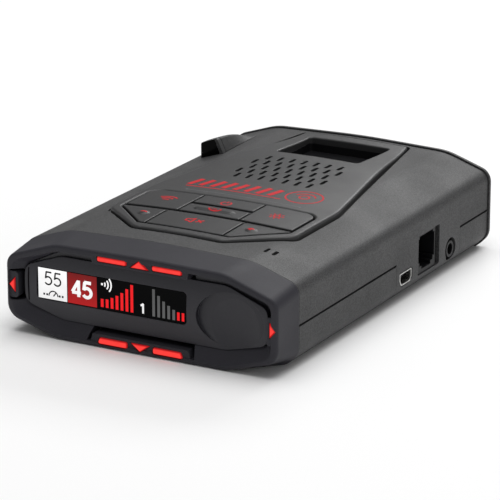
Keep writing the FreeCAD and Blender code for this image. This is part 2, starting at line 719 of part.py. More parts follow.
def modular_jack():
    """The jack fills the front part of its opening; its cavity narrows in steps towards the latch."""
    y0, y1 = MODULAR_Y[0] + 0.15, MODULAR_Y[1] - 1.8
    z0, z1 = MODULAR_Z
    body = prism_x(rectangle(y0, y1, z0, z1, 0.4), 25, 43.9)
    middle = (y0 + y1) / 2
    for half, low, high in ((5.5, 3.4, 1.4), (4.5, 2.2, 0.6), (3.1, 1.2, 0.6)):
        body = body.cut(box(30, 46, middle - half, middle + half, z0 + low, z1 - high))
    return body


def modular_contacts():
    z1 = MODULAR_Z[1]
    middle = (MODULAR_Y[0] + MODULAR_Y[1] - 1.65) / 2
    pins = [box(30, 40.5, middle + k * 1.27 - 0.25, middle + k * 1.27 + 0.25, z1 - 1.5, z1 - 0.9)
            for k in (-1.5, -0.5, 0.5, 1.5)]
    return Part.makeCompound(pins)


def audio_jack():
    body = box(31, 41.7, AUDIO_Y - 3.2, AUDIO_Y + 3.2, BOARD_Z[1], 10.4)
    collar = rod_x(41.7, 44.25, AUDIO_Y, AUDIO_Z, AUDIO_RING_RADIUS - 0.9)
    flange = rod_x(42.2, 42.9, AUDIO_Y, AUDIO_Z, AUDIO_RING_RADIUS)
    jack = body.fuse(collar).fuse(flange)
    return jack.cut(rod_x(32, 46, AUDIO_Y, AUDIO_Z, AUDIO_BORE_RADIUS)).removeSplitter()


# ---------------------------------------------------------------- under the deck
def mount_pocket():
    x = RECESS_HALF_X
    y0, y1 = RECESS_Y
    tub = prism_z(rectangle(-x - 2, x + 2, y0 - 2, y1 + 2, 1.0), RECESS_FLOOR_Z - 1.2, POCKET_FLOOR_Z)
    return tub.cut(prism_z(rectangle(-x, x, y0, y1, 1.2), RECESS_FLOOR_Z, 40))


def mount_magnets():
    y = (RECESS_Y[0] + RECESS_Y[1]) / 2
    discs = [post(side * 7.2, y, 21.8, RECESS_FLOOR_Z - 1.2, 4.8) for side in (-1, 1)]
    return Part.makeCompound(discs)


def key_board():
    return prism_z(rectangle(-32.4, 32.4, -49.5, -12, 2), KEY_BOARD_Z[0], KEY_BOARD_Z[1])


def key_mat():
    sheet = prism_z(rectangle(-24, 24, -40.4, -15.9, 1.5), KEY_BOARD_Z[1], MAT_TOP_Z)
    for x, y in PLUNGERS.values():
        dome = Part.makeCone(2.6, 1.5, DOME_TOP_Z - MAT_TOP_Z + 0.2, Vector(x, y, MAT_TOP_Z - 0.2))
        sheet = sheet.fuse(dome)
    return sheet.removeSplitter()


def speaker_frame():
    y = SLOT_FIRST_Y + 2 * SLOT_PITCH_Y
    ring = post(0, y, 23.6, CAVITY_TOP_Z, 15.2).cut(post(0, y, 23.0, 30, 12.6))
    basket = Part.makeCone(8.0, 15.0, 3.4, Vector(0, y, 20.2))
    basket = basket.cut(Part.makeCone(6.6, 13.6, 3.4, Vector(0, y, 20.9)))
    magnet = post(0, y, 16.6, 20.2, 8.0)
    return ring.fuse(basket).fuse(magnet).removeSplitter()


def speaker_cone():
    y = SLOT_FIRST_Y + 2 * SLOT_PITCH_Y
    cone = Part.makeCone(3.0, 12.4, 2.0, Vector(0, y, 23.6))
    cone = cone.cut(Part.makeCone(2.6, 12.4, 2.0, Vector(0, y, 24.1)))
    return cone


def speaker_cloth():
    y = SLOT_FIRST_Y + 2 * SLOT_PITCH_Y
    return post(0, y, CAVITY_TOP_Z + 0.3, POCKET_FLOOR_Z - 0.3, 14.1)


# ---------------------------------------------------------------- electronics
def main_board():
    right = [(32, -52, 1), (32, -44.5, 1), (39, -44.5, 1), (39, 53.5, 1), (32, 53.5, 1), (32, 60, 1)]
    return prism_z(mirrored(right), BOARD_Z[0], BOARD_Z[1])


def horn(x0, x1, y_mouth, y_throat):
    """Flared metal horn: a wide mouth, a narrow throat, open at the mouth."""
    middle = (x0 + x1) / 2
    z_low, z_high = BOARD_Z[1], 15.6
    z_mid = (z_low + z_high) / 2
    mouth = rectangle(x0, x1, z_low, z_high)
    throat = rectangle(middle - 6, middle + 6, z_low, z_mid + 2)
    solid = loft([(mouth, across(y_mouth)), (throat, across(y_throat))])
    inner_mouth = rectangle(x0 + 1, x1 - 1, z_low + 1, z_high - 1)
    inner_throat = rectangle(middle - 5, middle + 5, z_low + 1, z_mid + 1)
    y_step = y_throat + (1.5 if y_mouth > y_throat else -1.5)
    return solid.cut(loft([(inner_mouth, across(y_mouth)), (inner_throat, across(y_step))]))


def rf_shield():
    can = box(-6, 20, -20, 12, BOARD_Z[1], 9.0)
    return can.cut(box(-5.6, 19.6, -19.6, 11.6, BOARD_Z[1] - 1, 8.6))


def processor():
    return box(0, 12, -12, 0, BOARD_Z[1], 6.5)


def laser_receiver():
    housing = box(8, 28, 44, 60.5, BOARD_Z[1], 20.0)
    return housing.cut(rod_y(45.5, 62, 18, 13.4, 5.6))


def receiver_lens():
    barrel = rod_y(57.5, 60.5, 18, 13.4, 5.5)
    dome = Part.makeSphere(9.0, Vector(18, 53.4, 13.4)).common(rod_y(60.4, 63, 18, 13.4, 5.5))
    return barrel.fuse(dome).removeSplitter()


def gps_patch():
    return box(-34, -16, -18, 0, 18.2, 22.0)


def gps_bracket():
    plate = box(-35, -15, -19, 1, 17.2, 18.2)
    legs = [box(x, x + 2, 0, 1, BOARD_Z[1], 17.4) for x in (-35, -17)]
    for leg in legs:
        plate = plate.fuse(leg)
    return plate.removeSplitter()


def microphone():
    return post(29.9, -46.3, KEY_BOARD_Z[1], 25.4, 2.4)


def case_screws():
    screws = []
    for side in (-1, 1):
        for y in BOSS_Y:
            head = post(side * BOSS_X, y, 0.7, 2.2, SCREW_HEAD_RADIUS)
            shank = post(side * BOSS_X, y, 2.2, 18, SCREW_RADIUS - 0.1)
            cross = box(-1.5, 1.5, -0.3, 0.3, 0, 1.3).fuse(box(-0.3, 0.3, -1.5, 1.5, 0, 1.3))
            cross.translate(Vector(side * BOSS_X, y, 0))
            screws.append(head.fuse(shank).cut(cross).removeSplitter())
    return Part.makeCompound(screws)


def display_ribbon():
    """Flat flexible cable from the display module, down and back to the main board."""
    upright = box(-14, -6, -57.9, -57.6, 6.0, 14.0)
    flat = box(-14, -6, -57.9, -49.5, 5.7, 6.0)
    plug = box(-14.5, -5.5, -52.0, -48.5, BOARD_Z[1], 5.7)
    return upright.fuse(flat).fuse(plug).removeSplitter()


# ---------------------------------------------------------------- build
def build():
    os.makedirs("parts", exist_ok=True)
    blank = case_blank()
    outer = prism_y(body_corners(), CASE_FRONT_Y, CASE_REAR_Y)
    export("lower_case", lower_case(blank))
    export("upper_case", upper_case(blank))
    export("top_deck", top_deck())
    for name, outline in key_outlines().items():
        export(name, key(name, outline))
    export("front_bezel", front_bezel())
    export("face_plate", face_plate())
    export("display_window", display_window())
    export("display_module", display_module())
    for name, outline in light_outlines().items():
        export(name, light_pipe(outline).common(bezel_outer()))
    export("light_board", light_board())
    export("indicator_leds", indicator_leds())
    export("rear_cap", rear_cap())
    export("road_window", road_window())
    export("laser_port_cover", laser_port_cover(outer))
    export("laser_port_window", laser_port_window(outer))
    export("usb_socket", usb_socket())
    export("usb_tongue", usb_tongue())
    export("modular_jack", modular_jack())
    export("modular_contacts", modular_contacts())
    export("audio_jack", audio_jack())
    export("mount_pocket", mount_pocket())
    export("mount_magnets", mount_magnets())
    export("key_board", key_board())
    export("key_mat", key_mat())
    export("speaker_frame", speaker_frame())
    export("speaker_cone", speaker_cone())
    export("speaker_cloth", speaker_cloth())
    export("main_board", main_board())
    export("road_horn", horn(-30, -2, 62, 36))
    export("cabin_horn", horn(-34, -10, -46, -22))
    export("rf_shield", rf_shield())
    export("processor", processor())
    export("laser_receiver", laser_receiver())
    export("receiver_lens", receiver_lens())
    export("gps_patch", gps_patch())
    export("gps_bracket", gps_bracket())
    export("microphone", microphone())
    export("case_screws", case_screws())
    export("display_ribbon", display_ribbon())


build()
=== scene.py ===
import json
import math

import bpy
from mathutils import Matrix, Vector
from mathutils.bvhtree import BVHTree


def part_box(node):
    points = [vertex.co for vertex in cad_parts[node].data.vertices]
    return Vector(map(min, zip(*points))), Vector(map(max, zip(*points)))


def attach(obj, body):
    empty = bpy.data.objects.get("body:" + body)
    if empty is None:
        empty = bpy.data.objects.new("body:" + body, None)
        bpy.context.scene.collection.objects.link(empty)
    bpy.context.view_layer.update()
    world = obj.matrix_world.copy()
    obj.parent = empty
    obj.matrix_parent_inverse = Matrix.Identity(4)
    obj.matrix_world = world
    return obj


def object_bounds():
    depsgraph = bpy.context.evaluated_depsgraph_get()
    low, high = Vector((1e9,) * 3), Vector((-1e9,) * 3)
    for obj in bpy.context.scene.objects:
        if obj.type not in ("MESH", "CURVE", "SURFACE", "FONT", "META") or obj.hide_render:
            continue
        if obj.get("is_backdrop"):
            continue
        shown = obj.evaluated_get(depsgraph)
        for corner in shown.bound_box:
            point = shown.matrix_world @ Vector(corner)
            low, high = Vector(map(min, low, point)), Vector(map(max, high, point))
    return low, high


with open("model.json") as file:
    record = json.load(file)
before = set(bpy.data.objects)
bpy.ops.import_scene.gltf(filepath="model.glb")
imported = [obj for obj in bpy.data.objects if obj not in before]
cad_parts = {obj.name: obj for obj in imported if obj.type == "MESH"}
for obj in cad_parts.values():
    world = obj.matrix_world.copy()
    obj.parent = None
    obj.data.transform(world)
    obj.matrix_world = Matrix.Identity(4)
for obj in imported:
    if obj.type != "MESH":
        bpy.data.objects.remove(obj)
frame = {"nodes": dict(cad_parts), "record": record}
cad_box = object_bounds()
nodes = frame["nodes"]
MM = 0.001
ROOT = "detector"


# ---------------------------------------------------------------- camera, lights and floor
CAMERA_AT = (0.42038, -0.76651, 0.29408)
CAMERA_AZIMUTH = 28.885
CAMERA_ELEVATION = 17.912
CAMERA_LENS = 221.54
SENSOR_WIDTH = 36.0
WORLD_STRENGTH = 0.25
FLOOR_HALF = 4.0
FLOOR_DROP = 0.0001
FLOOR_GREY = 0.92
LIGHTS = (
    # name, position, target, size, watts
    ("top", (0.1, 0.1, 1.6), (0, 0, 0), (1.5, 1.5), 23),
    ("key", (-0.1, 1.15, 0.72), (0, 0, 0), (0.8, 0.35), 5.2),
    ("side", (1.5, -0.5, 0.55), (0, 0, 0.02), (0.9, 0.6), 2),
)


def add_camera():
    data = bpy.data.cameras.new("camera")
    data.lens = CAMERA_LENS
    data.sensor_width = SENSOR_WIDTH
    data.clip_start = 0.01
    data.clip_end = 20
    camera = bpy.data.objects.new("camera", data)
    camera.location = CAMERA_AT
    camera.rotation_euler = (math.radians(90 - CAMERA_ELEVATION), 0, math.radians(CAMERA_AZIMUTH))
    bpy.context.scene.collection.objects.link(camera)
    bpy.context.scene.camera = camera


def add_area_light(name, at, target, size, power):
    data = bpy.data.lights.new(name, "AREA")
    data.shape = "RECTANGLE"
    data.size, data.size_y = size
    data.energy = power
    light = bpy.data.objects.new(name, data)
    light.location = at
    direction = Vector(target) - Vector(at)
    light.rotation_euler = direction.to_track_quat("-Z", "Y").to_euler()
    bpy.context.scene.collection.objects.link(light)


def add_world():
    world = bpy.data.worlds.new("studio")
    world.use_nodes = True
    background = world.node_tree.nodes["Background"]
    background.inputs["Color"].default_value = (1.0, 1.0, 1.0, 1)
    background.inputs["Strength"].default_value = WORLD_STRENGTH
    bpy.context.scene.world = world


def add_floor():
    mesh = bpy.data.meshes.new("floor")
    corners = [(u * FLOOR_HALF, v * FLOOR_HALF, 0) for u, v in ((-1, -1), (1, -1), (1, 1), (-1, 1))]
    mesh.from_pydata(corners, [], [(0, 1, 2, 3)])
    floor = bpy.data.objects.new("floor", mesh)
    floor.location.z = -FLOOR_DROP
    bpy.context.scene.collection.objects.link(floor)
    mat = bpy.data.materials.new("floor")
    mat.use_nodes = True
    shader = mat.node_tree.nodes["Principled BSDF"]
    shader.inputs["Base Color"].default_value = (FLOOR_GREY, FLOOR_GREY, FLOOR_GREY, 1)
    shader.inputs["Roughness"].default_value = 0.8
    mesh.materials.append(mat)
    floor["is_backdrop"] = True


# ---------------------------------------------------------------- materials
class Graph:
    """A material's node tree, built one node at a time."""

    def __init__(self, name):
        self.material = bpy.data.materials.new(name)
        self.material.use_nodes = True
        self.tree = self.material.node_tree
        self.shader = self.tree.nodes["Principled BSDF"]
        self.place = self.node("ShaderNodeTexCoord").outputs["Object"]

    def node(self, kind, **settings):
        made = self.tree.nodes.new(kind)
        for key, value in settings.items():
            setattr(made, key, value)
        return made

    def link(self, source, target):
        self.tree.links.new(source, target)

    def noise(self, size, detail=3.0, stretch=(1, 1, 1)):
        """Noise whose features are about size metres across."""
        mapping = self.node("ShaderNodeMapping")
        mapping.inputs["Scale"].default_value = stretch
        self.link(self.place, mapping.inputs["Vector"])
        noise = self.node("ShaderNodeTexNoise")
        noise.inputs["Scale"].default_value = 1 / size
        noise.inputs["Detail"].default_value = detail
        self.link(mapping.outputs["Vector"], noise.inputs["Vector"])
        return noise.outputs["Fac"]

    def ramp(self, value, low, high, start=0.0, end=1.0):
        """Value remapped from low..high to start..end."""
        remap = self.node("ShaderNodeMapRange")
        remap.inputs["From Min"].default_value = low
        remap.inputs["From Max"].default_value = high
        remap.inputs["To Min"].default_value = start
        remap.inputs["To Max"].default_value = end
        self.link(value, remap.inputs["Value"])
        return remap.outputs["Result"]

    def mix(self, factor, first, second):
        """Colour between first and second; each is a colour or a socket."""
        mixer = self.node("ShaderNodeMix", data_type="RGBA")
        self.link(factor, mixer.inputs["Factor"])
        for value, name in ((first, "A"), (second, "B")):
            socket = [s for s in mixer.inputs if s.name == name and s.type == "RGBA"][0]
            if isinstance(value, tuple):
                socket.default_value = (*value, 1)
            else:
                self.link(value, socket)
        return [s for s in mixer.outputs if s.type == "RGBA"][0]

    def edges(self, radius):
        """Softened normals, and a mask that is 1 along sharp edges."""
        bevel = self.node("ShaderNodeBevel", samples=6)
        bevel.inputs["Radius"].default_value = radius
        geometry = self.node("ShaderNodeNewGeometry")
        dot = self.node("ShaderNodeVectorMath", operation="DOT_PRODUCT")
        self.link(bevel.outputs["Normal"], dot.inputs[0])
        self.link(geometry.outputs["True Normal"], dot.inputs[1])
        return bevel.outputs["Normal"], self.ramp(dot.outputs["Value"], 0.985, 0.86)

    def bump(self, height, strength, distance, normal=None):
        bump = self.node("ShaderNodeBump")
        bump.inputs["Strength"].default_value = strength
        bump.inputs["Distance"].default_value = distance
        self.link(height, bump.inputs["Height"])
        if normal:
            self.link(normal, bump.inputs["Normal"])
        return bump.outputs["Normal"]

    def set(self, **values):
        for key, value in values.items():
            self.shader.inputs[key.replace("_", " ")].default_value = value

    def height_along(self, axis, low, high):
        """0 at low and 1 at high, in metres along one axis of the object."""
        split = self.node("ShaderNodeSeparateXYZ")
        self.link(self.place, split.inputs["Vector"])
        return self.ramp(split.outputs[axis], low, high)


def moulded(name, colour, speckle, grain, grain_depth, roughness, edge_wear_and_highlight, edge_radius=0.00025,
            shine=0.5):
    """Moulded plastic: fine grain, uneven tone, and edges rounded smoother and painted lighter, partly as
    rub wear and partly as a painted highlight.
    """
    g = Graph(name)
    normal, edge = g.edges(edge_radius)
    fine = g.noise(grain, 2.0)
    cloud = g.noise(0.018, 4.0)
    edge_breakup = g.noise(0.0011, 5.0)
    light = tuple(min(c * (1 + speckle), 1) for c in colour)
    dark = tuple(c * (1 - speckle * 0.7) for c in colour)
    tone = g.mix(g.ramp(fine, 0.34, 0.68), dark, light)
    uneven = g.mix(g.ramp(cloud, 0.35, 0.65, 0.0, 0.22), tone, tuple(c * 0.72 for c in colour))
    # Sharp edges lightened towards the edge colour and broken up by noise: partly rub wear, partly a
    # painted highlight.
    edge_wear_and_highlight_mask = g.node("ShaderNodeMath", operation="MULTIPLY")
    g.link(edge, edge_wear_and_highlight_mask.inputs[0])
    g.link(g.ramp(edge_breakup, 0.38, 0.66, 0.15, 0.8), edge_wear_and_highlight_mask.inputs[1])
    g.link(g.mix(edge_wear_and_highlight_mask.outputs[0], uneven, edge_wear_and_highlight), g.shader.inputs["Base Color"])
    g.link(g.ramp(cloud, 0.3, 0.7, roughness - 0.05, roughness + 0.06), g.shader.inputs["Roughness"])
    g.link(g.bump(fine, 0.6, grain_depth, normal), g.shader.inputs["Normal"])
    g.set(IOR=1.46, Specular_IOR_Level=shine)
    return g.material


def clear_black(name, colour, roughness):
    """Polished dark acrylic with a trace of haze and fine wipe marks."""
    g = Graph(name)
    haze = g.noise(0.012, 4.0)
    wipes = g.noise(0.0016, 3.0, (1, 1, 9))
    g.link(g.mix(haze, colour, tuple(c * 1.6 for c in colour)), g.shader.inputs["Base Color"])
    g.link(g.ramp(wipes, 0.3, 0.75, roughness, roughness + 0.07), g.shader.inputs["Roughness"])
    g.link(g.bump(wipes, 0.05, 0.00001), g.shader.inputs["Normal"])
    g.set(IOR=1.3, Specular_IOR_Level=0.1)
    return g.material


def metal(name, colour, roughness, brushed=(1, 1, 1)):
    g = Graph(name)
    normal, edge = g.edges(0.00012)
    lines = g.noise(0.0004, 4.0, brushed)
    cloud = g.noise(0.006, 3.0)
    dark = tuple(c * 0.72 for c in colour)
    tone = g.mix(g.ramp(cloud, 0.3, 0.7), dark, colour)
    # Painted highlight: sharp edges lightened towards a brighter copy of the metal colour.
    painted_edge_highlight = tuple(min(c * 1.2, 1) for c in colour)
    g.link(g.mix(edge, tone, painted_edge_highlight), g.shader.inputs["Base Color"])
    g.link(g.ramp(lines, 0.3, 0.7, roughness - 0.08, roughness + 0.12), g.shader.inputs["Roughness"])
    g.link(g.bump(lines, 0.25, 0.00002, normal), g.shader.inputs["Normal"])
    g.set(Metallic=1.0)
    return g.material


def printed(name, colour):
    """Pad-printed ink: slightly uneven coverage."""
    g = Graph(name)
    cover = g.noise(0.0003, 4.0)
    thin = tuple(c * 0.7 for c in colour)
    g.link(g.mix(g.ramp(cover, 0.35, 0.6), thin, colour), g.shader.inputs["Base Color"])
    g.link(g.ramp(cover, 0.3, 0.7, 0.42, 0.6), g.shader.inputs["Roughness"])
    g.link(g.bump(cover, 0.3, 0.00001), g.shader.inputs["Normal"])
    g.set(Specular_IOR_Level=0.15)
    return g.material


def lit(name, along, span, start, end, strength=1.0):
    """Lit lens or display cell: its light changes from start to end across the span along one axis."""
    g = Graph(name)
    cloud = g.noise(0.002, 2.0)
    tone = g.mix(g.height_along(along, *span), start, end)
    uneven = g.mix(g.ramp(cloud, 0.3, 0.7, 0.0, 0.16), tone, tuple(c * 0.6 for c in start))
    g.link(g.mix(cloud, tuple(c * 0.1 for c in start), tuple(c * 0.14 for c in start)),
           g.shader.inputs["Base Color"])
    g.link(uneven, g.shader.inputs["Emission Color"])
    g.link(g.ramp(cloud, 0.3, 0.7, 0.28, 0.4), g.shader.inputs["Roughness"])
    g.link(g.bump(cloud, 0.1, 0.00002), g.shader.inputs["Normal"])
    g.set(Emission_Strength=strength, Specular_IOR_Level=0.1)
    return g.material


def woven(name, colour):
    """Fine acoustic cloth: crossed threads."""
    g = Graph(name)
    waves = []
    for axis in ("X", "Y"):
        wave = g.node("ShaderNodeTexWave", bands_direction=axis)
        wave.inputs["Scale"].default_value = 420
        wave.inputs["Distortion"].default_value = 1.5
        g.link(g.place, wave.inputs["Vector"])
        waves.append(wave.outputs["Fac"])
    cross = g.node("ShaderNodeMath", operation="MAXIMUM")
    g.link(waves[0], cross.inputs[0])
    g.link(waves[1], cross.inputs[1])
    shaded = tuple(c * 0.3 for c in colour)
    g.link(g.mix(cross.outputs[0], shaded, colour), g.shader.inputs["Base Color"])
    g.link(g.ramp(cross.outputs[0], 0, 1, 0.8, 0.95), g.shader.inputs["Roughness"])
    g.link(g.bump(cross.outputs[0], 0.8, 0.00008), g.shader.inputs["Normal"])
    return g.material


def board(name, mask, copper):
    """Solder mask over faint copper tracks."""
    g = Graph(name)
    bricks = g.node("ShaderNodeTexBrick")
    bricks.inputs["Scale"].default_value = 160
    bricks.inputs["Mortar Size"].default_value = 0.03
    g.link(g.place, bricks.inputs["Vector"])
    cloud = g.noise(0.004, 3.0)
    track = g.node("ShaderNodeMath", operation="MULTIPLY")
    g.link(bricks.outputs["Fac"], track.inputs[0])
    g.link(g.ramp(cloud, 0.45, 0.55), track.inputs[1])
    g.link(g.mix(track.outputs[0], mask, copper), g.shader.inputs["Base Color"])
    g.link(g.ramp(cloud, 0.3, 0.7, 0.3, 0.45), g.shader.inputs["Roughness"])
    g.link(g.bump(track.outputs[0], 0.4, 0.00003), g.shader.inputs["Normal"])
    return g.material


LENS_Y = (-0.06855, -0.06895)
LED_Y = (-0.0605, -0.0594)
SCREEN_Z = (11.1, 20.15)
PLASTICS = {
    # colour, speckle, grain size, grain depth, roughness, edge colour (rub wear and painted highlight),
    # edge radius, shine
    "case_plastic": ((0.037, 0.037, 0.038), 0.8, 0.00036, 0.00009, 0.56, (0.075, 0.075, 0.078)),
    "bezel_plastic": ((0.029, 0.0282, 0.035), 0.12, 0.0003, 0.00002, 0.52, (0.042, 0.042, 0.05),
                      0.0004, 0.28),
    "deck_plastic": ((0.032, 0.032, 0.033), 0.2, 0.0003, 0.00003, 0.42, (0.06, 0.06, 0.063)),
    "face_plastic": ((0.0225, 0.0218, 0.028), 0.1, 0.0003, 0.00002, 0.45, (0.032, 0.032, 0.038)),
    "key_plastic": ((0.023, 0.023, 0.024), 0.15, 0.0003, 0.00003, 0.4, (0.06, 0.06, 0.063)),
    "socket_plastic": ((0.005, 0.005, 0.006), 0.1, 0.0004, 0.00002, 0.42, (0.014, 0.014, 0.014),
                       0.00025, 0.25),
    "chip_black": ((0.015, 0.015, 0.016), 0.1, 0.0004, 0.00002, 0.5, (0.04, 0.04, 0.04)),
    "silicone": ((0.13, 0.13, 0.14), 0.1, 0.0006, 0.00002, 0.62, (0.2, 0.2, 0.2)),
    "ceramic": ((0.66, 0.61, 0.5), 0.06, 0.0005, 0.00002, 0.5, (0.8, 0.77, 0.7)),
    "ribbon": ((0.5, 0.27, 0.06), 0.08, 0.0008, 0.00001, 0.35, (0.6, 0.4, 0.1)),
    "speaker_paper": ((0.03, 0.03, 0.03), 0.3, 0.0005, 0.0001, 0.85, (0.05, 0.05, 0.05)),
}
GLASSES = {
    # colour, roughness
    "smoked_glass": ((0.0008, 0.0008, 0.001), 0.08),
    "lens_glass": ((0.03, 0.008, 0.014), 0.05),
}
METALS = {
    # colour, roughness, stretch of the brush lines
    "socket_metal": ((0.6, 0.6, 0.58), 0.3, (1, 6, 1)),
    "contact_metal": ((0.85, 0.66, 0.28), 0.25, (6, 1, 1)),
    "screw_metal": ((0.09, 0.09, 0.09), 0.4),
    "speaker_metal": ((0.4, 0.4, 0.4), 0.35),
    "horn_metal": ((0.6, 0.6, 0.6), 0.42),
}
LIT_CELLS = {
    # colour at the bottom of the screen, colour at its top
    "cell_white": ((0.82, 0.82, 0.82), (1.0, 1.0, 1.0)),
    "cell_crimson": ((0.42, 0.011, 0.012), (0.13, 0.009, 0.009)),
    "cell_red": ((0.86, 0.012, 0.016), (0.8, 0.012, 0.016)),
    "cell_grey": ((0.105, 0.105, 0.105), (0.085, 0.085, 0.085)),
    "cell_black": ((0.003, 0.003, 0.003), (0.002, 0.002, 0.002)),
}


def make_materials():
    made = {name: moulded(name, *values) for name, values in PLASTICS.items()}
    made.update({name: clear_black(name, *values) for name, values in GLASSES.items()})
    made.update({name: metal(name, *values) for name, values in METALS.items()})
    made["light_pipe"] = lit("light_pipe", "Y", LENS_Y, (0.32, 0.004, 0.006), (0.95, 0.05, 0.042), 1.1)
    made["led_white"] = lit("led_white", "Y", LED_Y, (0.9, 0.2, 0.15), (1.0, 0.4, 0.3))
    made["cloth"] = woven("cloth", (0.03, 0.03, 0.03))
    made["circuit_board"] = board("circuit_board", (0.02, 0.12, 0.06), (0.04, 0.2, 0.1))
    made["dark_board"] = board("dark_board", (0.012, 0.02, 0.016), (0.03, 0.05, 0.04))
    made["red_ink"] = printed("red_ink", (0.62, 0.012, 0.02))
    made["grey_ink"] = printed("grey_ink", (0.2, 0.2, 0.21))
    screen = tuple(z * MM for z in SCREEN_Z)
    made.update({name: lit(name, "Z", screen, *tones) for name, tones in LIT_CELLS.items()})
    return made


def dress_nodes(materials):
    slots = {entry["node"]: entry["material_slot"] for entry in frame["record"]["subparts"]}
    for name, node in nodes.items():
        node.data.materials.clear()
        node.data.materials.append(materials[slots[name]])


# ---------------------------------------------------------------- mesh helpers
def add_piece(name, vertices, faces, material, body):
    mesh = bpy.data.meshes.new(name)
    mesh.from_pydata(vertices, [], faces)
    mesh.validate()
    mesh.materials.append(material)
    piece = bpy.data.objects.new(name, mesh)
    bpy.context.scene.collection.objects.link(piece)
    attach(piece, body)
    return piece


def ribbon(points, width):
    """Outline strip along a flat path: pairs of left and right points."""
    pairs = []
    last = len(points) - 1
    for index, (u, v) in enumerate(points):
        before = points[max(index - 1, 0)]
        after = points[min(index + 1, last)]
        along = Vector((after[0] - before[0], after[1] - before[1])).normalized()
        side = Vector((-along.y, along.x)) * (width / 2)
        pairs.append(((u + side.x, v + side.y), (u - side.x, v - side.y)))
    return pairs


def line(start, end, steps=10):
    return [(start[0] + (end[0] - start[0]) * k / steps, start[1] + (end[1] - start[1]) * k / steps)
            for k in range(steps + 1)]


def arc(centre, radius, start, end, steps=24):
    """Points of an arc; angles in degrees, counterclockwise from +u."""
    angles = [math.radians(start + (end - start) * k / steps) for k in range(steps + 1)]
    return [(centre[0] + radius * math.cos(a), centre[1] + radius * math.sin(a)) for a in angles]


def strips_to_mesh(strips, lift, place):
    """Closed slabs from strips of point pairs; place(u, v, height) puts a point in space."""
    vertices, faces = [], []
    for pairs in strips:
        base = len(vertices)
        for left, right in pairs:
            for (u, v), height in ((left, lift), (right, lift), (right, -lift), (left, -lift)):
                vertices.append(place(u, v, height))
        for k in range(len(pairs) - 1):
            a = base + 4 * k
            for j in range(4):
                faces.append((a + j, a + (j + 1) % 4, a + 4 + (j + 1) % 4, a + 4 + j))
        faces.append((base + 3, base + 2, base + 1, base))
        end = base + 4 * (len(pairs) - 1)
        faces.append((end, end + 1, end + 2, end + 3))
    return vertices, faces


RAY_START_Z = 0.05


def on_node(name):
    """A place function that lays (x, y), in millimetres, on top of a CAD node."""
    mesh = nodes[name].data
    tree = BVHTree.FromPolygons([v.co for v in mesh.vertices], [tuple(p.vertices) for p in mesh.polygons])

    def place(u, v, height):
        hit = tree.ray_cast(Vector((u * MM, v * MM, RAY_START_Z)), Vector((0, 0, -1)))[0]
        return (u * MM, v * MM, hit.z + height * MM)
    return place


INK = 0.03  # half the thickness of the printed ink, millimetres


def print_on(name, node, body, strips, material):
    vertices, faces = strips_to_mesh(strips, INK, on_node(node))
    return add_piece(name, vertices, faces, material, body)


# ---------------------------------------------------------------- pictograms on the keys
def placed(paths, at, size):
    return [[(u * size + at[0], v * size + at[1]) for u, v in path] for path in paths]


def wave_icon():
    return [arc((0, -1.2), r, 50, 130) for r in (0.9, 1.7, 2.5)]


def power_icon():
    return [arc((0, 0), 1.35, 120, 420, 40), line((0, 0.3), (0, 1.7), 4)]


def target_icon():
    ring = [(2.1 * u, v) for u, v in arc((0, 0), 0.95, 0, 360, 40)]
    return [ring, line((-0.6, 0), (0.6, 0), 4)]


def sun_icon():
    rays = [line((1.15 * math.cos(a), 1.15 * math.sin(a)), (1.75 * math.cos(a), 1.75 * math.sin(a)), 3)
            for a in (math.radians(45 * k) for k in range(8))]
    return [arc((0, 0), 0.7, 0, 360, 28)] + rays


def mute_icon():
    horn = [line((-2.0, -0.6), (-2.0, 0.6), 4), line((-2.0, 0.6), (-1.2, 0.6), 4),
            line((-1.2, 0.6), (-0.2, 1.4), 5), line((-0.2, 1.4), (-0.2, -1.4), 8),
            line((-0.2, -1.4), (-1.2, -0.6), 5), line((-1.2, -0.6), (-2.0, -0.6), 4)]
    return horn + [line((0.7, -0.8), (2.2, 0.8), 6), line((0.7, 0.8), (2.2, -0.8), 6)]


def minus_icon():
    return [line((-1.3, 0), (1.3, 0), 14)]


def plus_icon():
    return [line((-1.3, 0), (1.3, 0), 14), line((0, -1.2), (0, 1.2), 14)]


ICONS = {
    # drawing, centre on the deck, scale, stroke width
    "sensitivity": (wave_icon, (-18.6, -21.3), 1.75, 0.6),
    "power": (power_icon, (-0.4, -18.2), 1.15, 0.5),
    "mark": (target_icon, (0.2, -25.8), 1.0, 0.45),
    "brightness": (sun_icon, (18.0, -21.1), 1.35, 0.5),
    "minus": (minus_icon, (-17.7, -36.0), 0.8, 0.75),
    "mute": (mute_icon, (-0.6, -36.6), 1.3, 0.55),
    "plus": (plus_icon, (17.7, -36.0), 0.8, 0.7),
}


def print_keys(materials):
    for key, (icon, at, size, width) in ICONS.items():
        strips = [ribbon(path, width) for path in placed(icon(), at, size)]
        print_on(key + "_icon", key + "_key", key + "_button", strips, materials["red_ink"])


BAR_COUNT = 8
BAR_START_X = -20.8
BAR_PITCH = 3.85
BAR_Y = (-4.7, 1.6)
BAR_LEAN = 1.6
BAR_WIDTH = 1.75
UNDERLINE_X = (-20.9, 11.0)
UNDERLINE_Y = -6.2
RING_CENTRE = (16.3, -1.0)
RING_ARCS = ((5.6, 0, 360, 72), (3.3, 20, 160, 36), (1.5, 0, 360, 36))
STROKE = 0.5
HAIRLINE_X = (-18.4, 19.5)
HAIRLINE_Y = -9.9
HAIRLINE_WIDTH = 0.22
TICK_HALF = 0.35
TICK_WIDTH = 0.7


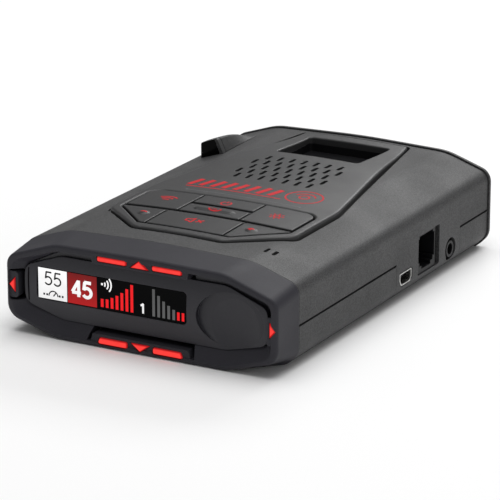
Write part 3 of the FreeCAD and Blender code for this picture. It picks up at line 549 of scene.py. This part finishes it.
def print_deck(materials):
    strips = []
    for k in range(BAR_COUNT):
        x = BAR_START_X + BAR_PITCH * k
        strips.append(ribbon(line((x, BAR_Y[0]), (x + BAR_LEAN, BAR_Y[1]), 12), BAR_WIDTH))
    left, right = UNDERLINE_X
    strips.append(ribbon(line((left, UNDERLINE_Y), (right, UNDERLINE_Y), 60), STROKE))
    strips += [ribbon(arc(RING_CENTRE, *values), STROKE) for values in RING_ARCS]
    print_on("deck_stripe", "top_deck", ROOT, strips, materials["red_ink"])
    left, right = HAIRLINE_X
    hairline = ribbon(line((left, HAIRLINE_Y), (right, HAIRLINE_Y), 60), HAIRLINE_WIDTH)
    ticks = [ribbon(line((x - TICK_HALF, HAIRLINE_Y), (x + TICK_HALF, HAIRLINE_Y), 4), TICK_WIDTH)
             for x in HAIRLINE_X]
    print_on("deck_hairline", "top_deck", ROOT, [hairline] + ticks, materials["grey_ink"])


# ---------------------------------------------------------------- display
def display_front():
    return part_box("display_window")[0].y


def on_display(u, v, height):
    return (u * MM, display_front() - height * MM, v * MM)


CELL = 0.03  # half the thickness of a lit cell, millimetres
DIGIT = 0.06  # the same for marks that lie over a lit cell
SCREEN_X = (-34.3, 14.2)
TILE_X = (-24.6, -14.8)


def cell(name, strips, material, lift=CELL):
    """Lit shapes standing a hair proud of the display window."""
    vertices, faces = strips_to_mesh(strips, lift, on_display)
    return add_piece(name, vertices, faces, material, ROOT)


def block(x0, x1, z0, z1):
    return [((x0, z1), (x0, z0)), ((x1, z1), (x1, z0))]


NUMERALS = {
    "1": [line((0.34, 0.0), (0.34, 1.0), 4), line((0.36, 0.96), (0.08, 0.76), 4)],
    "4": [line((0.44, 0.97), (0.02, 0.27), 6), line((0.0, 0.25), (0.6, 0.25), 6),
          line((0.45, 0.0), (0.45, 1.0), 6)],
    "5": [line((0.55, 0.95), (0.1, 0.95), 5), line((0.13, 0.97), (0.06, 0.47), 5),
          arc((0.27, 0.33), 0.28, 138, -148, 30)],
}
NUMERAL_PITCH = 0.74
TILE_GAP = 0.12
DIAL_CENTRE = (-29.3, 12.1)
DIAL_DOTS_X = (-32.4, -31.4, -27.2, -26.2)
WAVE_CENTRE = (-12.9, 18.4)
WAVE_RADII = (0.9, 1.9, 2.9)
# edges of the first bar, pitch, foot of the bars, their heights
RISING_BARS = ((-13.5, -12.6), 1.63, 11.6, (2.4, 2.5, 3.2, 4.1, 5.2, 6.6, 8.1))
FALLING_BARS = ((3.4, 4.25), 1.62, 11.6, (8.0, 6.3, 4.9, 3.9, 3.0))
LOW_BARS = ((11.4, 12.2), 1.5, 11.7, (2.4, 2.4))


def digits(name, text, height, start, width, material):
    """Numerals drawn with one stroke width; start is the lower left corner."""
    strips = []
    for index, numeral in enumerate(text):
        at = (start[0] + index * NUMERAL_PITCH * height, start[1])
        strips += [ribbon(path, width) for path in placed(NUMERALS[numeral], at, height)]
    return cell(name, strips, material, DIGIT)


def bar_row(first, pitch, foot, heights):
    left, right = first
    return [block(left + pitch * k, right + pitch * k, foot, foot + h) for k, h in enumerate(heights)]


def add_display(materials):
    low, high = SCREEN_Z
    cell("limit_tile", [block(SCREEN_X[0], TILE_X[0] - TILE_GAP, low, high)], materials["cell_white"])
    cell("speed_tile", [block(TILE_X[0] + TILE_GAP, TILE_X[1], low, high)], materials["cell_crimson"])
    digits("limit_digits", "55", 4.1, (-32.1, 15.2), 0.48, materials["cell_black"])
    dial = [ribbon(arc(DIAL_CENTRE, 1.5, 0, 180, 30), 0.36),
            ribbon(line(DIAL_CENTRE, (-28.5, 13.1), 4), 0.36)]
    dots = [block(x - 0.3, x + 0.3, 12.1, 12.7) for x in DIAL_DOTS_X]
    cell("limit_dial", dial + dots, materials["cell_black"], DIGIT)
    digits("speed_digits", "45", 4.9, (-23.0, 13.3), 1.0, materials["cell_white"])
    digits("band_digit", "1", 2.9, (-0.6, 11.9), 0.55, materials["cell_white"])
    waves = [ribbon(arc(WAVE_CENTRE, r, -40, 40, 16), 0.42) for r in WAVE_RADII]
    cell("band_waves", waves + [block(-13.3, -12.7, 18.1, 18.7)], materials["cell_white"], DIGIT)
    bars = bar_row(*RISING_BARS) + bar_row(*LOW_BARS)
    cell("signal_bars", bars, materials["cell_red"])
    cell("memory_bars", bar_row(*FALLING_BARS), materials["cell_grey"])


# ---------------------------------------------------------------- scene
add_camera()
add_world()
for light in LIGHTS:
    add_area_light(*light)
add_floor()
bpy.context.scene.view_settings.view_transform = "Standard"
materials = make_materials()
dress_nodes(materials)
print_keys(materials)
print_deck(materials)
add_display(materials)

boxes = {"cad": cad_box, "visual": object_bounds()}
{name: [list(corner) for corner in box] for name, box in boxes.items()}
